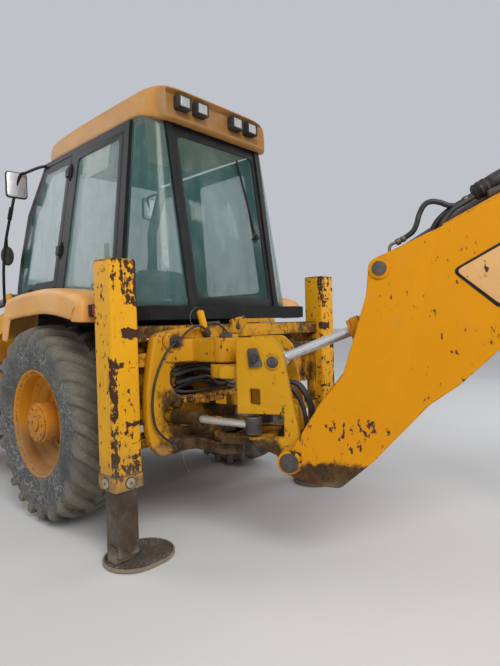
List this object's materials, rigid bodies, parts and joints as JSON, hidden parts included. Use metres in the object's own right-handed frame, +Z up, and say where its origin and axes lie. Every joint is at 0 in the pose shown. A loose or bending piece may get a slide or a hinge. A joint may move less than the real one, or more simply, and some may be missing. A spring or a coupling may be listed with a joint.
{
  "type": "backhoe loader",
  "caption": "Wheeled backhoe loader with a front bucket on lifting arms, a glazed cab, box stabiliser legs and a side-shifting hoe with boom, dipper and bucket.",
  "frame": {"origin": "on the ground, below the middle of the machine's bounding box as parked", "axes": "+X forward, towards the loader bucket; +Y to the machine's left; +Z up"},
  "size_m": [8.151, 2.35, 3],
  "materials": {
    "yellow_paint": "yellow paint, chipped and dusty",
    "amber_paint": "amber paint, worn at the foot",
    "white_paint": "off-white paint, dusty",
    "moulded_orange": "faded moulded plastic",
    "dark_steel": "black paint, dusty",
    "black_plastic": "moulded plastic",
    "seat_cover": "woven seat cover",
    "tinted_glass": "tinted safety glass",
    "lamp_glass": "clear lamp glass",
    "tyre_rubber": "dusty tyre rubber",
    "ram_grey": "grey paint",
    "ram_chrome": "hard chromed rod",
    "worn_steel": "bare steel, brown with dust"
  },
  "bodies": {
    "chassis": {"chassis": "yellow_paint", "rear_frame": "yellow_paint", "rear_axle": "dark_steel", "front_axle": "dark_steel", "engine": "dark_steel", "nose": "yellow_paint", "cab_frame": "dark_steel", "cab_floor": "dark_steel", "cab_roof": "moulded_orange", "cab_windows": "tinted_glass", "seat": "seat_cover", "controls": "black_plastic", "fenders": "moulded_orange", "tanks_and_steps": "dark_steel", "exhaust": "dark_steel", "mirrors": "black_plastic", "lamps": "lamp_glass"},
    "bonnet": {"bonnet": "yellow_paint"},
    "door_left": {"door_left": "dark_steel", "door_glass_left": "tinted_glass"},
    "door_right": {"door_right": "dark_steel", "door_glass_right": "tinted_glass"},
    "knuckle_left": {"knuckle_left": "dark_steel"},
    "knuckle_right": {"knuckle_right": "dark_steel"},
    "rear_wheel_left": {"rear_rim_left": "yellow_paint", "rear_tyre_left": "tyre_rubber"},
    "rear_wheel_right": {"rear_rim_right": "yellow_paint", "rear_tyre_right": "tyre_rubber"},
    "front_wheel_left": {"front_rim_left": "white_paint", "front_tyre_left": "tyre_rubber"},
    "front_wheel_right": {"front_rim_right": "white_paint", "front_tyre_right": "tyre_rubber"},
    "loader_arms": {"loader_arms": "yellow_paint"},
    "lift_barrels": {"lift_barrels": "ram_grey"},
    "lift_rods": {"lift_rods": "ram_chrome"},
    "tilt_barrels": {"tilt_barrels": "ram_grey"},
    "tilt_rods": {"tilt_rods": "ram_chrome"},
    "tilt_levers": {"tilt_levers": "yellow_paint"},
    "tilt_links": {"tilt_links": "yellow_paint"},
    "loader_bucket": {"loader_bucket": "yellow_paint"},
    "carriage": {"carriage": "yellow_paint"},
    "slew_barrel_left": {"slew_barrel_left": "yellow_paint"},
    "slew_barrel_right": {"slew_barrel_right": "yellow_paint"},
    "slew_rod_left": {"slew_rod_left": "ram_chrome"},
    "slew_rod_right": {"slew_rod_right": "ram_chrome"},
    "swing_post": {"swing_post": "yellow_paint"},
    "boom": {"boom": "amber_paint"},
    "boom_barrel": {"boom_barrel": "ram_grey"},
    "boom_rod": {"boom_rod": "ram_chrome"},
    "dipper": {"dipper": "amber_paint"},
    "dipper_barrel": {"dipper_barrel": "ram_grey"},
    "dipper_rod": {"dipper_rod": "ram_chrome"},
    "tip_barrel": {"tip_barrel": "ram_grey"},
    "tip_rod": {"tip_rod": "ram_chrome"},
    "tip_levers": {"tip_levers": "yellow_paint"},
    "tip_link": {"tip_link": "yellow_paint"},
    "hoe_bucket": {"hoe_bucket": "worn_steel"},
    "leg_left": {"leg_left": "worn_steel"},
    "leg_right": {"leg_right": "worn_steel"}
  },
  "joints": [
    {"name": "rear_wheel_left_spin", "type": "hinge", "parent": "chassis", "child": "rear_wheel_left", "pos_m": [-0.10435, 0.88, 0.695], "axis": [0, 1, 0], "continuous": true},
    {"name": "rear_wheel_right_spin", "type": "hinge", "parent": "chassis", "child": "rear_wheel_right", "pos_m": [-0.10435, -0.88, 0.695], "axis": [0, 1, 0], "continuous": true},
    {"name": "steering", "type": "hinge", "parent": "chassis", "child": "knuckle_left", "pos_m": [2.06565, 0.69, 0.482], "axis": [0, 0, 1], "range_deg": [-38, 38]},
    {"name": "steering_right", "type": "hinge", "parent": "chassis", "child": "knuckle_right", "pos_m": [2.06565, -0.69, 0.482], "axis": [0, 0, 1], "range_deg": [-39, 39]},
    {"name": "front_wheel_left_spin", "type": "hinge", "parent": "knuckle_left", "child": "front_wheel_left", "pos_m": [2.06565, 0.9, 0.482], "axis": [0, 1, 0], "continuous": true},
    {"name": "front_wheel_right_spin", "type": "hinge", "parent": "knuckle_right", "child": "front_wheel_right", "pos_m": [2.06565, -0.9, 0.482], "axis": [0, 1, 0], "continuous": true},
    {"name": "door_left_hinge", "type": "hinge", "parent": "chassis", "child": "door_left", "pos_m": [0.18365, 0.74707, 1.68645], "axis": [-0.0858, -0.1249, 0.9885], "range_deg": [0, 95]},
    {"name": "door_right_hinge", "type": "hinge", "parent": "chassis", "child": "door_right", "pos_m": [0.18365, -0.74707, 1.68645], "axis": [0.0858, -0.1249, -0.9885], "range_deg": [0, 95]},
    {"name": "bonnet_hinge", "type": "hinge", "parent": "chassis", "child": "bonnet", "pos_m": [0.97365, 0, 1.625], "axis": [0, -1, 0], "range_deg": [0, 50]},
    {"name": "loader_lift", "type": "hinge", "parent": "chassis", "child": "loader_arms", "pos_m": [1.07565, 0, 1.56], "axis": [0, -1, 0], "range_deg": [-2, 79]},
    {"name": "lift_barrel_pivot", "type": "hinge", "parent": "chassis", "child": "lift_barrels", "pos_m": [1.19565, 0, 0.83], "axis": [0, -1, 0], "range_deg": [-2.6, 63.2]},
    {"name": "lift_rod_slide", "type": "slide", "parent": "lift_barrels", "child": "lift_rods", "axis": [0.9839, 0, 0.1789], "range_m": [-0.027, 0.871]},
    {"name": "bucket_tilt", "type": "hinge", "parent": "loader_arms", "child": "loader_bucket", "pos_m": [3.22565, 0, 0.33], "axis": [0, -1, 0], "range_deg": [-120, 43]},
    {"name": "tilt_lever_pivot", "type": "hinge", "parent": "loader_arms", "child": "tilt_levers", "pos_m": [2.67565, 0, 1.16], "axis": [0, -1, 0], "range_deg": [-66.5, 24.5]},
    {"name": "tilt_link_pivot", "type": "hinge", "parent": "loader_bucket", "child": "tilt_links", "pos_m": [3.19565, 0, 0.65], "axis": [0, -1, 0], "range_deg": [-48, 132.1]},
    {"name": "tilt_barrel_pivot", "type": "hinge", "parent": "loader_arms", "child": "tilt_barrels", "pos_m": [1.45565, 0, 1.66], "axis": [0, -1, 0], "range_deg": [-9.3, 4]},
    {"name": "tilt_rod_slide", "type": "slide", "parent": "tilt_barrels", "child": "tilt_rods", "axis": [0.9956, 0, -0.0935], "range_m": [-0.108, 0.291]},
    {"name": "side_shift", "type": "slide", "parent": "chassis", "child": "carriage", "axis": [0, 1, 0], "range_m": [-1.025, 0.025]},
    {"name": "slewing", "type": "hinge", "parent": "carriage", "child": "swing_post", "pos_m": [-1.46435, 0.5, 0], "axis": [0, 0, -1], "range_deg": [-62, 118]},
    {"name": "slew_barrel_left_pivot", "type": "hinge", "parent": "carriage", "child": "slew_barrel_left", "pos_m": [-1.16435, 0.65, 0.8], "axis": [0, 0, -1], "range_deg": [-26, 48.5]},
    {"name": "slew_rod_left_slide", "type": "slide", "parent": "slew_barrel_left", "child": "slew_rod_left", "axis": [-0.9831, -0.183, 0], "range_m": [-0.295, 0.157]},
    {"name": "slew_barrel_right_pivot", "type": "hinge", "parent": "carriage", "child": "slew_barrel_right", "pos_m": [-1.16435, 0.35, 0.8], "axis": [0, 0, -1], "range_deg": [-26, 48.5]},
    {"name": "slew_rod_right_slide", "type": "slide", "parent": "slew_barrel_right", "child": "slew_rod_right", "axis": [-0.9783, -0.2073, 0], "range_m": [-0.157, 0.295]},
    {"name": "boom_lift", "type": "hinge", "parent": "swing_post", "child": "boom", "pos_m": [-1.82636, 0.30752, 0.62], "axis": [-0.4695, 0.8829, 0], "range_deg": [-70, 38]},
    {"name": "boom_barrel_pivot", "type": "hinge", "parent": "boom", "child": "boom_barrel", "pos_m": [-3.06249, -0.34974, 1.72], "axis": [-0.4695, 0.8829, 0], "range_deg": [-1.8, 2.4]},
    {"name": "boom_rod_slide", "type": "slide", "parent": "boom_barrel", "child": "boom_rod", "axis": [0.8247, 0.4385, -0.3573], "range_m": [-0.312, 0.571]},
    {"name": "dipper_crowd", "type": "hinge", "parent": "boom", "child": "dipper", "pos_m": [-3.6364, -0.6549, 2.33], "axis": [0.4695, -0.8829, 0], "range_deg": [-112, 3]},
    {"name": "dipper_barrel_pivot", "type": "hinge", "parent": "boom", "child": "dipper_barrel", "pos_m": [-2.25018, 0.08217, 1.625], "axis": [0.4695, -0.8829, 0], "range_deg": [-6.5, 1.1]},
    {"name": "dipper_rod_slide", "type": "slide", "parent": "dipper_barrel", "child": "dipper_rod", "axis": [-0.7587, -0.4034, 0.5114], "range_m": [-0.623, 0.022]},
    {"name": "hoe_bucket_curl", "type": "hinge", "parent": "dipper", "child": "hoe_bucket", "pos_m": [-3.6364, -0.6549, 0.8], "axis": [0.4695, -0.8829, 0], "range_deg": [-105, 76]},
    {"name": "tip_lever_pivot", "type": "hinge", "parent": "dipper", "child": "tip_levers", "pos_m": [-3.65406, -0.66429, 1.13], "axis": [0.4695, -0.8829, 0], "range_deg": [-64.2, 46.8]},
    {"name": "tip_link_pivot", "type": "hinge", "parent": "hoe_bucket", "child": "tip_link", "pos_m": [-3.77543, -0.72882, 0.61887], "axis": [0.4695, -0.8829, 0], "range_deg": [-63.5, 87.3]},
    {"name": "tip_barrel_pivot", "type": "hinge", "parent": "dipper", "child": "tip_barrel", "pos_m": [-3.80416, -0.7441, 2.12], "axis": [0.4695, -0.8829, 0], "range_deg": [-10.7, 8]},
    {"name": "tip_rod_slide", "type": "slide", "parent": "tip_barrel", "child": "tip_rod", "axis": [-0.1319, -0.0701, -0.9888], "range_m": [-0.317, 0.231]},
    {"name": "leg_left_slide", "type": "slide", "parent": "chassis", "child": "leg_left", "axis": [0, 0, 1], "range_m": [-0.12, 0.31]},
    {"name": "leg_right_slide", "type": "slide", "parent": "chassis", "child": "leg_right", "axis": [0, 0, 1], "range_m": [-0.12, 0.31]}
  ],
  "couplings": [
    {"joint": "steering_right", "follows": "steering", "ratio": 1},
    {"joint": "lift_barrel_pivot", "follows": "loader_lift", "ratio": 0.787},
    {"joint": "lift_rod_slide", "follows": "loader_lift", "m_per_rad": 0.62789},
    {"joint": "tilt_lever_pivot", "follows": "bucket_tilt", "ratio": 0.5456},
    {"joint": "tilt_link_pivot", "follows": "bucket_tilt", "ratio": -1.0928},
    {"joint": "tilt_barrel_pivot", "follows": "bucket_tilt", "ratio": 0.0695},
    {"joint": "tilt_rod_slide", "follows": "bucket_tilt", "m_per_rad": -0.13676},
    {"joint": "slew_barrel_left_pivot", "follows": "slewing", "ratio": 0.4027},
    {"joint": "slew_rod_left_slide", "follows": "slewing", "m_per_rad": -0.14068},
    {"joint": "slew_barrel_right_pivot", "follows": "slewing", "ratio": 0.4027},
    {"joint": "slew_rod_right_slide", "follows": "slewing", "m_per_rad": 0.1409},
    {"joint": "boom_barrel_pivot", "follows": "boom_lift", "ratio": -0.0204},
    {"joint": "boom_rod_slide", "follows": "boom_lift", "m_per_rad": -0.46325},
    {"joint": "dipper_barrel_pivot", "follows": "dipper_crowd", "ratio": 0.0488},
    {"joint": "dipper_rod_slide", "follows": "dipper_crowd", "m_per_rad": 0.31635},
    {"joint": "tip_lever_pivot", "follows": "hoe_bucket_curl", "ratio": 0.602},
    {"joint": "tip_link_pivot", "follows": "hoe_bucket_curl", "ratio": -0.8223},
    {"joint": "tip_barrel_pivot", "follows": "hoe_bucket_curl", "ratio": 0.0921},
    {"joint": "tip_rod_slide", "follows": "hoe_bucket_curl", "m_per_rad": 0.17011}
  ]
}
